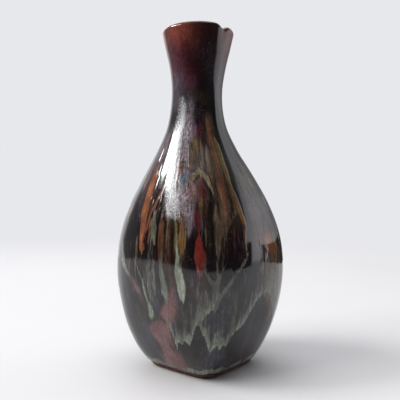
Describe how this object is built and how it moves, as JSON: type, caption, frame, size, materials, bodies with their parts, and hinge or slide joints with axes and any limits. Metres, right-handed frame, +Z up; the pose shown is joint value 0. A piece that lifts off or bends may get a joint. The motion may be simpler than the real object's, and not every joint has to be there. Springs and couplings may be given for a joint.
{
  "type": "ceramic bud vase",
  "caption": "Slender stoneware bottle vase with a squared foot, full belly, narrow neck and flared lip with a pressed dent, under dark glossy glaze with pale running drips.",
  "frame": {"origin": "on the standing surface, under the middle of the belly", "axes": "+Z up through the mouth; -Y is the side with a corner of the squared foot in front; the lip's dent is between -Y and +X"},
  "size_m": [0.1008, 0.1008, 0.1999],
  "materials": {
    "clay": "bare fired stoneware, matt",
    "dark_glaze": "gloss",
    "run_glaze": "gloss, streaked",
    "lip_glaze": "gloss",
    "liner_glaze": "gloss"
  },
  "bodies": {
    "root": {"clay_body": "clay", "dark_glaze": "dark_glaze", "run_glaze": "run_glaze", "lip_glaze": "lip_glaze", "liner_glaze": "liner_glaze"}
  },
  "joints": []
}
